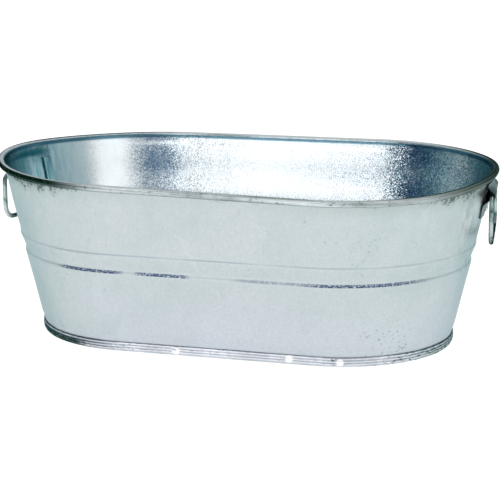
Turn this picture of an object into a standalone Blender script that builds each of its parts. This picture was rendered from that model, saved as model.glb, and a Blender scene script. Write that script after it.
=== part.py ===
"""Livestock water trough: a galvanised oval tub with two drop handles.

Two half shells of sheet steel meet in vertical lock seams, their top edge is
rolled round a hidden rim wire, and a recessed bottom pan is curled round
their foot.  A wire bail swings in a bent sheet ear at each end.

Metres, +Z up.  +X is the length (the right end), +Y the back.
"""
import math

import bmesh
import bpy

# Driving dimensions of the tub
LENGTH = 0.610              # over the rolled rim
END_RADIUS = 0.1857         # rim's outer radius at the round ends, half the width
HEIGHT = 0.2074             # floor to the rim's top at the middle of the sides
BASE_RADIUS = 0.1350        # foot ring's outer radius at the round ends
SHEET = 0.0007
GAP = 0.0003                # clearance between touching pieces
RIM_WIRE_RADIUS = 0.00295

# The rim isn't quite level: it rises at the ends and is a little twisted
END_RISE = 0.0046
TWIST_RISE = 0.0037
RISE_FROM = 0.150
RISE_FULL = 0.195

# Wall and lock seams
FOOT_LINE_RADIUS = 0.13095  # the straight taper's mid-sheet radius at z = 0
WALL_SLOPE = 0.2331         # radius gained per height
RIGHT_SEAM_DEG = -3.0
LEFT_SEAM_DEG = 159.0
SEAM_HALF_LAP = 0.0045
SEAM_REACH = 0.0070         # plain wall starts this far from a seam's middle
SEAM_LEVEL = 0.0015         # level sheet before the step inwards
SEAM_STEP = 0.0062          # where the sheet that steps inwards has done so
SEAM_TIP = 0.0039           # where both sheets end inside the fold
SEAM_FROM = 0.0240          # the folds are notched away at the foot and the rim
SEAM_TO = 0.1865

# The wall's foot as (mid-sheet radius, height); it stands inside the pan's curl
PAN_FOOT_RADIUS = 0.1325
WALL_FOOT = [
    (PAN_FOOT_RADIUS, 0.0012), (PAN_FOOT_RADIUS, 0.0080), (0.1328, 0.0115), (0.1345, 0.0180),
]

# Swages as (height, how far out of the straight taper): bead, groove, bead, shoulder
SWAGES = [
    (SEAM_FROM, 0.0), (0.0600, 0.0002), (0.0800, 0.0004), (0.0900, 0.0006),
    (0.0965, 0.0007), (0.0995, 0.0003), (0.1020, -0.0007), (0.1045, -0.0012),
    (0.1085, -0.0008), (0.1150, 0.0003), (0.1195, 0.0011), (0.1225, 0.0006),
    (0.1255, 0.0001), (0.1300, 0.0), (0.1600, 0.0), (SEAM_TO, 0.0), (0.1925, 0.0),
    (0.1960, 0.0005),
]
ROLL_DEGREES = (180, 135, 90, 45, 0, -45, -90, -125)

# Bottom pan
FLOOR_HEIGHT = 0.0095
FLOOR_EDGE = 0.1180         # the flat floor's radius
PAN_BEND = 0.0010
FOOT_BEND = 0.0004
RIDGES = [
    (-0.0003, 0.0030), (-0.0007, 0.0046), (0.0, 0.0062),
    (-0.0006, 0.0078), (-0.0003, 0.0094), (-0.0008, 0.0107),
]                           # the curl, as (from the outermost ridge, height)

# Handles: the plan angle and hinge height of each one
HANDLES = {
    "right": {"angle": 8.0, "height": 0.1850, "hinge_radius": 0.1793},
    "left": {"angle": 167.0, "height": 0.1780, "hinge_radius": 0.1777},
}
BAIL_WIRE_RADIUS = 0.0027
BAIL_WIDTH = 0.115          # between the legs' centre lines
BAIL_DROP = 0.054           # hinge line to the grip's centre line
BAIL_TOP_CORNER = 0.008
BAIL_GRIP_CORNER = 0.017
EAR_SHEET = 0.0012
EAR_CLEARANCE = 0.0006      # to the wall, which bulges a little at its seams
EAR_HALF_WIDTH = 0.040
EAR_TOP = 0.0145            # heights from the hinge line
FLANGE_FOOT = 0.0105
TAB_BEND = -0.0110
TAB_TOP = -0.0140
TAB_FOOT = -0.0280
TAB_CORNER = 0.0040
WRAP_DEGREES = (20, -10, -40, -70, -100)
RIVET_ANGLE = 3.75          # degrees round the wall from the handle's middle
RIVET_DROP = 0.0200         # below the hinge line
RIVET_SHANK = 0.0016
RIVET_HEAD = [(0.0016, 0.0017), (0.0028, 0.0008), (0.0032, 0.0)]
RIVET_HEAD_HEIGHT = 0.0020
RIVET_TAIL = [(0.0029, 0.0), (0.0024, -0.0008)]
RIVET_TAIL_HEIGHT = 0.0013
RIVET_SEGMENTS = 12
HOLE_REACH = 0.006

# Worked out from the driving dimensions
STRAIGHT = LENGTH / 2 - END_RADIUS
PITCH = SHEET + GAP
ROLL_RADIUS = RIM_WIRE_RADIUS + GAP + SHEET / 2
ROLL_OUTER = ROLL_RADIUS + SHEET / 2
ROLL_CENTRE = (END_RADIUS - ROLL_OUTER, HEIGHT - ROLL_OUTER)
WALL_TILT = math.atan(WALL_SLOPE)
OUTER_FACE = SHEET / 2 + EAR_CLEARANCE + EAR_SHEET   # of the ear, from the mid sheet
INNER_FACE = -SHEET / 2


def clear_scene():
    for item in list(bpy.data.objects):
        bpy.data.objects.remove(item, do_unlink=True)


def material(name, color, metallic, roughness):
    mat = bpy.data.materials.new(name)
    mat.use_nodes = True
    shader = mat.node_tree.nodes["Principled BSDF"]
    shader.inputs["Base Color"].default_value = (*color, 1.0)
    shader.inputs["Metallic"].default_value = metallic
    shader.inputs["Roughness"].default_value = roughness
    return mat


def add_object(name, bm, mat):
    """Close the mesh's normals, shade it and link it under its node name."""
    bmesh.ops.recalc_face_normals(bm, faces=bm.faces)
    mesh = bpy.data.meshes.new(name)
    bm.to_mesh(mesh)
    bm.free()
    mesh.materials.append(mat)
    mesh.shade_smooth()
    mesh.set_sharp_from_angle(angle=math.radians(40))
    item = bpy.data.objects.new(name, mesh)
    bpy.context.scene.collection.objects.link(item)
    return item


# ---------------------------------------------------------------- the plan

def rim_rise(x, y, z):
    """How far a point of the wall is lifted by the rim's rise and twist."""
    along = x / (LENGTH / 2)
    rise = END_RISE * abs(along) ** 8 + TWIST_RISE * along * y / END_RADIUS
    k = min(max((z - RISE_FROM) / (RISE_FULL - RISE_FROM), 0.0), 1.0)
    return rise * k * k * (3 - 2 * k)


def plan_point(station, radius, z, shift=0.0):
    """Point at a radius and height, shifted along the wall from a station."""
    centre_x, angle = station
    x = centre_x + radius * math.cos(angle) - shift * math.sin(angle)
    y = radius * math.sin(angle) + shift * math.cos(angle)
    return (x, y, z + rim_rise(x, y, z))


def end_station(degrees):
    angle = math.radians(degrees)
    return (math.copysign(STRAIGHT, math.cos(angle)), angle)


def arc_stations(start, stop, steps):
    """Stations round one end, from start to stop in degrees, ends left out.

    Every rivet gets a station too, so that the wall is true where it sits.
    """
    centre_x = math.copysign(STRAIGHT, math.cos(math.radians((start + stop) / 2)))
    degrees = [start + (stop - start) * i / steps for i in range(1, steps)]
    for handle in HANDLES.values():
        for offset in (-RIVET_ANGLE, RIVET_ANGLE):
            for turn in (0.0, -360.0):
                rivet = handle["angle"] + offset + turn
                if min(start, stop) < rivet < max(start, stop):
                    degrees.append(rivet)
    degrees.sort(reverse=stop < start)
    return [(centre_x, math.radians(d)) for d in degrees]


def half_stations(side, right_steps, left_steps):
    """Stations of the back (side 1) or front (side -1) between the two seams."""
    left_seam = LEFT_SEAM_DEG if side > 0 else LEFT_SEAM_DEG - 360.0
    quarter = 90.0 * side
    corner = math.radians(quarter)
    return (arc_stations(RIGHT_SEAM_DEG, quarter, right_steps)
            + [(STRAIGHT, corner), (-STRAIGHT, corner)]
            + arc_stations(quarter, left_seam, left_steps))


BACK_STATIONS = half_stations(1, 10, 8)
FRONT_STATIONS = half_stations(-1, 10, 12)
RIGHT_SEAM = end_station(RIGHT_SEAM_DEG)
LEFT_SEAM = end_station(LEFT_SEAM_DEG)


def ring_stations():
    """(station, shift) all the way round, through both seams."""
    ring = [(RIGHT_SEAM, shift) for shift in (-SEAM_REACH, 0.0, SEAM_REACH)]
    ring += [(station, 0.0) for station in BACK_STATIONS]
    ring += [(LEFT_SEAM, shift) for shift in (-SEAM_REACH, 0.0, SEAM_REACH)]
    ring += [(station, 0.0) for station in reversed(FRONT_STATIONS)]
    return ring


# ------------------------------------------------------- sheet and ring meshes

def normal_angles(path):
    """Direction of the right-hand side of a path of (a, b) points, at each."""
    angles = []
    for i in range(len(path)):
        before = path[max(i - 1, 0)]
        after = path[min(i + 1, len(path) - 1)]
        heading = math.atan2(after[1] - before[1], after[0] - before[0])
        angles.append(heading - math.pi / 2)
    return angles


def sheet_mesh(rows, columns, point, keep):
    """Closed sheet over the grid cells that keep(row, column) allows."""
    bm = bmesh.new()
    made = {}

    def vert(i, j, face):
        if (i, j, face) not in made:
            made[i, j, face] = bm.verts.new(point(i, j, face))
        return made[i, j, face]

    cells = [(i, j) for i in range(rows - 1) for j in range(columns - 1) if keep(i, j)]
    kept = set(cells)
    for i, j in cells:
        corners = [(i, j), (i, j + 1), (i + 1, j + 1), (i + 1, j)]
        bm.faces.new([vert(a, b, 1) for a, b in corners])
        bm.faces.new([vert(a, b, -1) for a, b in reversed(corners)])
        beside = [(i - 1, j), (i, j + 1), (i + 1, j), (i, j - 1)]
        for k in range(4):
            if beside[k] not in kept:
                a, b = corners[k], corners[(k + 1) % 4]
                bm.faces.new([vert(*a, -1), vert(*b, -1), vert(*b, 1), vert(*a, 1)])
    return bm


def ring_mesh(outline, closed):
    """Sweep an outline of (radius, z) round the plan; an open one gets caps."""
    bm = bmesh.new()
    rings = []
    for station, shift in ring_stations():
        rings.append([bm.verts.new(plan_point(station, r, z, shift)) for r, z in outline])
    count = len(outline)
    for i in range(len(rings)):
        here, there = rings[i - 1], rings[i]
        for k in range(count if closed else count - 1):
            m = (k + 1) % count
            bm.faces.new([here[k], there[k], there[m], here[m]])
    if not closed:
        bm.faces.new([ring[0] for ring in rings])
        bm.faces.new([ring[-1] for ring in rings])
    return bm


# ------------------------------------------------------------- the half shells

def taper_radius(z):
    """Mid-sheet radius of the straight taper."""
    return FOOT_LINE_RADIUS + WALL_SLOPE * z


def wall_rows():
    """Mid-sheet (radius, z) from the foot, over the swages, round the roll."""
    rows = WALL_FOOT + [(taper_radius(z) + out, z) for z, out in SWAGES]
    for degrees in ROLL_DEGREES:
        turn = math.radians(degrees)
        rows.append((ROLL_CENTRE[0] + ROLL_RADIUS * math.cos(turn),
                     ROLL_CENTRE[1] + ROLL_RADIUS * math.sin(turn)))
    return rows


def fold(centre, start, stop):
    """Quarter points of a U fold one sheet pitch in radius."""
    turns = [math.radians(start + (stop - start) * i / 4) for i in range(5)]
    return [(centre[0] + PITCH * math.cos(t), centre[1] + PITCH * math.sin(t))
            for t in turns]


def outer_hook():
    """(along, out) of the sheet that stays flush, towards the seam and back."""
    bend = fold((SEAM_HALF_LAP, -PITCH), 90, -90)
    return [(-SEAM_REACH, 0.0), (-GAP / 2, 0.0)] + bend + [(-SEAM_TIP, -2 * PITCH)]


def inner_hook():
    """(along, out) of the sheet that steps inwards behind the outer hook."""
    step = [(SEAM_REACH + SEAM_LEVEL, 0.0), (SEAM_REACH, 0.0),
            (SEAM_STEP, -3 * PITCH), (GAP / 2, -3 * PITCH)]
    bend = fold((-SEAM_HALF_LAP, -2 * PITCH), 270, 90)
    return step + bend + [(SEAM_TIP, -PITCH)]


def mirrored(hook):
    """The same hook for the left seam, where the sheets arrive the other way."""
    return [(-u, n) for u, n in hook]


def seam_columns(seam, hook):
    """Wall columns of one hook: (station, shift, out, normal direction)."""
    heading = 1 if hook[1][0] > hook[0][0] else -1
    turn = math.pi if heading > 0 else 0.0
    return [(seam, u, n, a + turn) for (u, n), a in zip(hook, normal_angles(hook))]


def butt_index(hook):
    """Where in a hook the sheet ends above and below its folds."""
    return next(i for i, (u, n) in enumerate(hook) if abs(u) < GAP)


def shell(name, stations, right_hook, left_hook, mat):
    """One half of the wall, with a hook at each end of its sheet."""
    rows = wall_rows()
    tilts = normal_angles(rows)
    right = seam_columns(RIGHT_SEAM, right_hook)
    left = seam_columns(LEFT_SEAM, left_hook)
    columns = list(reversed(right))
    columns += [(station, 0.0, 0.0, math.pi / 2) for station in stations]
    columns += left
    first_butt = len(right) - 1 - butt_index(right_hook)
    last_butt = len(columns) - len(left) + butt_index(left_hook)

    def seamed(i):
        return SEAM_FROM <= rows[i][1] <= SEAM_TO

    def point(i, j, face):
        station, shift, out, direction = columns[j]
        if not seamed(i):
            out = 0.0
            direction = math.pi / 2
        half = face * SHEET / 2
        out += half * math.sin(direction)
        shift += half * math.cos(direction)
        radius = rows[i][0] + out * math.cos(tilts[i])
        return plan_point(station, radius, rows[i][1] + out * math.sin(tilts[i]), shift)

    def keep(i, j):
        main = first_butt <= j < last_butt
        return main or (seamed(i) and seamed(i + 1))

    return add_object(name, sheet_mesh(len(rows), len(columns), point, keep), mat)


# -------------------------------------------------------- rim wire and the pan

def rim_wire(mat):
    outline = []
    for k in range(8):
        turn = math.radians(45 * k)
        outline.append((ROLL_CENTRE[0] + RIM_WIRE_RADIUS * math.cos(turn),
                        ROLL_CENTRE[1] + RIM_WIRE_RADIUS * math.sin(turn)))
    return add_object("rim_wire", ring_mesh(outline, True), mat)


def pan_path():
    """Mid-sheet (radius, z): floor, inner flange, flat foot, ridged curl."""
    inner = PAN_FOOT_RADIUS - PITCH
    outer = PAN_FOOT_RADIUS + PITCH
    foot = SHEET / 2
    path = [
        (FLOOR_EDGE, FLOOR_HEIGHT), (inner - PAN_BEND, FLOOR_HEIGHT),
        (inner, FLOOR_HEIGHT - PAN_BEND), (inner, foot + PAN_BEND),
        (inner + FOOT_BEND, foot), (outer - FOOT_BEND, foot), (outer, foot + PAN_BEND),
    ]
    return path + [(BASE_RADIUS - SHEET / 2 + out, z) for out, z in RIDGES]


def bottom_pan(mat):
    path = pan_path()
    under, over = [], []
    for (r, z), a in zip(path, normal_angles(path)):
        r_step, z_step = SHEET / 2 * math.cos(a), SHEET / 2 * math.sin(a)
        under.append((r + r_step, z + z_step))
        over.append((r - r_step, z - z_step))
    flat = [i for i, (r, z) in enumerate(path) if z == SHEET / 2]
    for i in flat:
        under[i] = (under[i][0], 0.0)
    return add_object("bottom_pan", ring_mesh(under + over[::-1], False), mat)


# ------------------------------------------------------------------ the handles

def wall_gap_radius(z):
    """Radius of a mid-sheet ear laid against the outside of the wall."""
    return taper_radius(z) + SHEET / 2 + EAR_CLEARANCE + EAR_SHEET / 2


def ear_rows(handle):
    """(out, up, follows) from the hinge line: flange, wrap round the bar, tab."""
    height, hinge = handle["height"], handle["hinge_radius"]

    def on_wall(up, extra=0.0):
        return (wall_gap_radius(height + up) - hinge + extra, up, 1.0)

    wrap = BAIL_WIRE_RADIUS + GAP + EAR_SHEET / 2
    rows = [on_wall(EAR_TOP, 2 * GAP), on_wall(FLANGE_FOOT, 2 * GAP)]
    for degrees in WRAP_DEGREES:
        turn = math.radians(degrees)
        rows.append((wrap * math.cos(turn), wrap * math.sin(turn), 0.0))
    rows += [on_wall(TAB_BEND, GAP), on_wall(TAB_TOP), on_wall(TAB_FOOT)]
    return rows


def ear(side, handle, mat):
    rows = ear_rows(handle)
    tilts = normal_angles([(n, z) for n, z, follows in rows])
    station = end_station(handle["angle"])
    shares = [-1.0, -0.75, -0.5, -0.25, 0.0, 0.25, 0.5, 0.75, 1.0]

    def point(i, j, face):
        out, up, follows = rows[i]
        half = face * EAR_SHEET / 2
        out += half * math.cos(tilts[i])
        up += half * math.sin(tilts[i])
        last = i == len(rows) - 1
        across = shares[j] * (EAR_HALF_WIDTH - TAB_CORNER if last else EAR_HALF_WIDTH)
        radius = handle["hinge_radius"] + out
        radius -= follows * across * across / (2 * radius)
        centre_x, angle = station
        x = centre_x + radius * math.cos(angle) - across * math.sin(angle)
        y = radius * math.sin(angle) + across * math.cos(angle)
        return (x, y, handle["height"] + up)

    mesh = sheet_mesh(len(rows), len(shares), point, lambda i, j: True)
    return add_object(side + "_ear", mesh, mat)


def bail_path():
    """Closed (across, up) centre line of a bail, from the hinge line."""
    half = BAIL_WIDTH / 2
    corners = [
        (half, 0.0, BAIL_TOP_CORNER, 90), (-half, 0.0, BAIL_TOP_CORNER, 180),
        (-half, -BAIL_DROP, BAIL_GRIP_CORNER, 270), (half, -BAIL_DROP, BAIL_GRIP_CORNER, 360),
    ]
    path = []
    for across, up, radius, stop in corners:
        centre_a = across - math.copysign(radius, across)
        centre_u = up - radius if up == 0.0 else up + radius
        for i in range(5):
            turn = math.radians(stop - 90 + 90 * i / 4)
            path.append((centre_a + radius * math.cos(turn),
                         centre_u + radius * math.sin(turn), turn))
    return path


def bail(side, handle, mat):
    """Closed wire loop, hanging straight down from its hinge line."""
    sides = 10
    bm = bmesh.new()
    rings = []
    for across, up, turn in bail_path():
        ring = []
        for k in range(sides):
            a = 2 * math.pi * k / sides
            reach = BAIL_WIRE_RADIUS * math.cos(a)
            ring.append(bm.verts.new((BAIL_WIRE_RADIUS * math.sin(a),
                                      across + reach * math.cos(turn),
                                      up + reach * math.sin(turn))))
        rings.append(ring)
    for i in range(len(rings)):
        here, there = rings[i - 1], rings[i]
        for k in range(sides):
            m = (k + 1) % sides
            bm.faces.new([here[k], there[k], there[m], here[m]])
    loop = add_object(side + "_bail", bm, mat)
    centre_x, angle = end_station(handle["angle"])
    loop.location = (centre_x + handle["hinge_radius"] * math.cos(angle),
                     handle["hinge_radius"] * math.sin(angle), handle["height"])
    loop.rotation_euler = (0.0, 0.0, angle)
    return loop


# ------------------------------------------------------------------- the rivets

def lathe(bm, profile):
    """Close a (radius, x) profile round the local X axis; its ends lie on it."""
    rings = []
    for radius, x in profile:
        if radius == 0.0:
            rings.append([bm.verts.new((x, 0.0, 0.0))])
            continue
        turns = [2 * math.pi * k / RIVET_SEGMENTS for k in range(RIVET_SEGMENTS)]
        rings.append([bm.verts.new((x, radius * math.cos(t), radius * math.sin(t)))
                      for t in turns])
    for here, there in zip(rings, rings[1:]):
        for k in range(RIVET_SEGMENTS):
            m = (k + 1) % RIVET_SEGMENTS
            corners = [here[k % len(here)], here[m % len(here)],
                       there[m % len(there)], there[k % len(there)]]
            bm.faces.new(list(dict.fromkeys(corners)))


def rivet_mesh():
    head = OUTER_FACE + GAP
    tail = INNER_FACE - 2 * GAP
    profile = [(0.0, head + RIVET_HEAD_HEIGHT)]
    profile += [(radius, head + x) for radius, x in RIVET_HEAD]
    profile += [(RIVET_SHANK, head), (RIVET_SHANK, tail)]
    profile += [(radius, tail + x) for radius, x in RIVET_TAIL]
    profile += [(0.0, tail - RIVET_TAIL_HEIGHT)]
    bm = bmesh.new()
    lathe(bm, profile)
    return bm


def hole_mesh():
    bm = bmesh.new()
    radius = RIVET_SHANK + GAP
    lathe(bm, [(0.0, HOLE_REACH), (radius, HOLE_REACH), (radius, -HOLE_REACH), (0.0, -HOLE_REACH)])
    return bm


def place_on_wall(item, handle, offset):
    """Stand an object's X axis on the wall, degrees from the handle's middle."""
    z = handle["height"] - RIVET_DROP
    radius = taper_radius(z)
    centre_x, angle = end_station(handle["angle"] + offset)
    item.location = (centre_x + radius * math.cos(angle), radius * math.sin(angle), z)
    item.rotation_euler = (0.0, WALL_TILT, angle)


def cut_hole(cutter, items):
    for item in items:
        cut = item.modifiers.new("rivet_hole", 'BOOLEAN')
        cut.operation = 'DIFFERENCE'
        cut.solver = 'EXACT'
        cut.object = cutter


def rivets(side, handle, items, mat):
    for label, offset in (("a", -RIVET_ANGLE), ("b", RIVET_ANGLE)):
        rivet = add_object(side + "_rivet_" + label, rivet_mesh(), mat)
        place_on_wall(rivet, handle, offset)
        cutter = add_object(side + "_hole_" + label, hole_mesh(), mat)
        cutter.hide_render = True
        cutter.display_type = 'WIRE'
        place_on_wall(cutter, handle, offset)
        cut_hole(cutter, items)


def build():
    clear_scene()
    outside = material("galvanised_sheet", (0.62, 0.67, 0.68), 0.85, 0.42)
    pan_zinc = material("galvanised_pan", (0.58, 0.62, 0.63), 0.85, 0.38)
    wire_zinc = material("galvanised_wire", (0.55, 0.60, 0.60), 0.90, 0.32)
    ear_zinc = material("galvanised_ear", (0.60, 0.64, 0.64), 0.85, 0.40)
    rivet_zinc = material("galvanised_rivet", (0.56, 0.60, 0.61), 0.90, 0.36)
    outer, inner = outer_hook(), inner_hook()
    front = shell("front_shell", FRONT_STATIONS, outer, mirrored(outer), outside)
    back = shell("back_shell", BACK_STATIONS, inner, mirrored(inner), outside)
    rim_wire(wire_zinc)
    bottom_pan(pan_zinc)
    for side, handle in HANDLES.items():
        strap = ear(side, handle, ear_zinc)
        bail(side, handle, wire_zinc)
        rivets(side, handle, [strap, back if side == "right" else front], rivet_zinc)


build()
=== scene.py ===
"""Looks of a galvanised oval livestock tub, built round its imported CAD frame.

Every node of the frame is replaced by a finer mesh of the same shape: two
swaged half walls with lock seams and a rolled rim, the wire inside the roll,
a recessed bottom pan with a ridged foot ring, two bent ears with their rivets
and two wire bails.  The zinc is procedural.

Metres, +Z up.  +X is the length, +Y the back, the origin is on the floor.
"""
import math

import bpy
from mathutils import Matrix, Vector, noise


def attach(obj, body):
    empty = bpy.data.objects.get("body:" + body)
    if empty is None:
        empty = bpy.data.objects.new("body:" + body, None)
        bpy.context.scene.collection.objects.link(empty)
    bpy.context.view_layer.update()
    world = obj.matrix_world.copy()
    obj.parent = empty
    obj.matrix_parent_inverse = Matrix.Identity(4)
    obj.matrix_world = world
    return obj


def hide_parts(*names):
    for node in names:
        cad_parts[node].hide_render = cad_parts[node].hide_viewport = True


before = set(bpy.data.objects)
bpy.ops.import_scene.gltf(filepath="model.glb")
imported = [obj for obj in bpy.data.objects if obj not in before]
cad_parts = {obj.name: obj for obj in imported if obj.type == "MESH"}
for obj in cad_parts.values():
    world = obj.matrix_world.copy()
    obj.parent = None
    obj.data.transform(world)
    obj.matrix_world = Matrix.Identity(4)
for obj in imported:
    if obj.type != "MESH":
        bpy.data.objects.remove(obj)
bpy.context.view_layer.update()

# Tub, as in the CAD
LENGTH = 0.610
END_RADIUS = 0.1857
HEIGHT = 0.2074
BASE_RADIUS = 0.1350
SHEET = 0.0007
GAP = 0.0003
RIM_WIRE_RADIUS = 0.00295
END_RISE = 0.0046
TWIST_RISE = 0.0037
RISE_FROM = 0.150
RISE_FULL = 0.195
FOOT_LINE_RADIUS = 0.13095
WALL_SLOPE = 0.2331
RIGHT_SEAM_DEG = -3.0
LEFT_SEAM_DEG = 159.0
SEAM_HALF_LAP = 0.0045
SEAM_REACH = 0.0070
SEAM_LEVEL = 0.0015         # level sheet before the step inwards
SEAM_STEP = 0.0062
SEAM_TIP = 0.0039
SEAM_FROM = 0.0240
SEAM_TO = 0.1865
PAN_FOOT_RADIUS = 0.1325
WALL_FOOT = [
    (PAN_FOOT_RADIUS, 0.0012), (PAN_FOOT_RADIUS, 0.0080), (0.1328, 0.0115), (0.1345, 0.0180),
]
SWAGES = [
    (SEAM_FROM, 0.0), (0.0600, 0.0002), (0.0800, 0.0004), (0.0900, 0.0006),
    (0.0965, 0.0007), (0.0995, 0.0003), (0.1020, -0.0007), (0.1045, -0.0012),
    (0.1085, -0.0008), (0.1150, 0.0003), (0.1195, 0.0011), (0.1225, 0.0006),
    (0.1255, 0.0001), (0.1300, 0.0), (0.1600, 0.0), (SEAM_TO, 0.0), (0.1925, 0.0),
    (0.1960, 0.0005),
]
BEAD_TOP = 0.1300
BOW = 0.0008                # of the long back side, between the beads and the rim
BOW_FROM = 0.090
BOW_FADE = 0.040
RIPPLE_FROM = 0.030         # height where the sheet's unevenness starts
RIPPLE_TO = 0.198
RIPPLE_FADE = 0.030
RIPPLE_BROAD = 0.00030
RIPPLE_SMALL = 0.00006
FLOOR_HEIGHT = 0.0095
FLOOR_EDGE = 0.1180
PAN_BEND = 0.0010
FOOT_BEND = 0.0004
RIDGES = [
    (-0.0003, 0.0030), (-0.0007, 0.0046), (0.0, 0.0062),
    (-0.0006, 0.0078), (-0.0003, 0.0094), (-0.0008, 0.0107),
]
SOLDER_BEADS = [(-0.046, -0.136, 0.005), (0.091, -0.136, 0.006), (0.151, -0.132, 0.005)]
BEAD_HEIGHT = 0.0009
BEAD_SPREAD = 0.0028
SOLDER_LUMP = 0.00012
CURL_EDGE_WAVE = 0.00030
STANDING_HEIGHT = 0.0020    # below it the pan stays true, where it stands
HANDLES = {
    "right": {"angle": 8.0, "height": 0.1850, "hinge_radius": 0.1793},
    "left": {"angle": 167.0, "height": 0.1780, "hinge_radius": 0.1777},
}
BAIL_WIRE_RADIUS = 0.0027
BAIL_WIDTH = 0.115
BAIL_DROP = 0.054
BAIL_TOP_CORNER = 0.008
BAIL_GRIP_CORNER = 0.017
BAIL_WAVER = 0.0004
BAIL_WAVER_FROM = 0.020     # below the hinge line
EAR_SHEET = 0.0012
EAR_CLEARANCE = 0.0006
EAR_HALF_WIDTH = 0.040
EAR_TOP = 0.0145
FLANGE_FOOT = 0.0105
TAB_BEND = -0.0110
TAB_TOP = -0.0140
TAB_FOOT = -0.0280
TAB_CORNER = 0.0040
TAB_ROUND = 0.0008
RIVET_ANGLE = 3.75
RIVET_DROP = 0.0200
RIVET_SHANK = 0.0016
RIVET_HEAD_RADIUS = 0.0032
RIVET_HEAD_HEIGHT = 0.0020
RIVET_TAIL = [(0.0029, 0.0), (0.0028, 0.0004), (0.0024, 0.0009), (0.0012, 0.0013), (0.0, 0.0013)]

# Fineness of the visible meshes
ARC_STEP = 2.0              # degrees
STRAIGHT_STEP = 0.006
ROW_STEP = 0.0022
ROLL_STEP = 9.0
ROLL_FROM = 180.0           # degrees round the rim wire, 0 outwards, 90 up
ROLL_TO = -125.0
PAN_FINENESS = 3            # stations of the pan for each of the walls'
CURL_ROWS = 22
RIM_WIRE_SIDES = 16
EAR_COLUMNS = 32
BAIL_SIDES = 18
BAIL_CORNER_STEPS = 12
BAIL_STEP = 0.004
RIVET_SIDES = 24

EDGE_TINT = (0.50, 0.64, 0.64)   # zinc's colour at a grazing angle
# dark blue painted shade in the crease under the roll
ROLL_CREASE_SHADE = (0.050, 0.175, 0.245)
BLACK_GREEN = (0.010, 0.040, 0.036)
DARK_REFLECTION_PATCHES = [(-0.166, 0.163, 0.166), (0.182, 0.160, 0.172)]   # of painted dark reflection, broken into crystals, inside
LOWER_BEAD = 0.1006
UPPER_BEAD = 0.1226

STRAIGHT = LENGTH / 2 - END_RADIUS
PITCH = SHEET + GAP
ROLL_RADIUS = RIM_WIRE_RADIUS + GAP + SHEET / 2
ROLL_OUTER = ROLL_RADIUS + SHEET / 2
ROLL_CENTRE = (END_RADIUS - ROLL_OUTER, HEIGHT - ROLL_OUTER)
WALL_TILT = math.atan(WALL_SLOPE)
OUTER_FACE = SHEET / 2 + EAR_CLEARANCE + EAR_SHEET
INNER_FACE = -SHEET / 2


# ------------------------------------------------------------------ node trees

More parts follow.
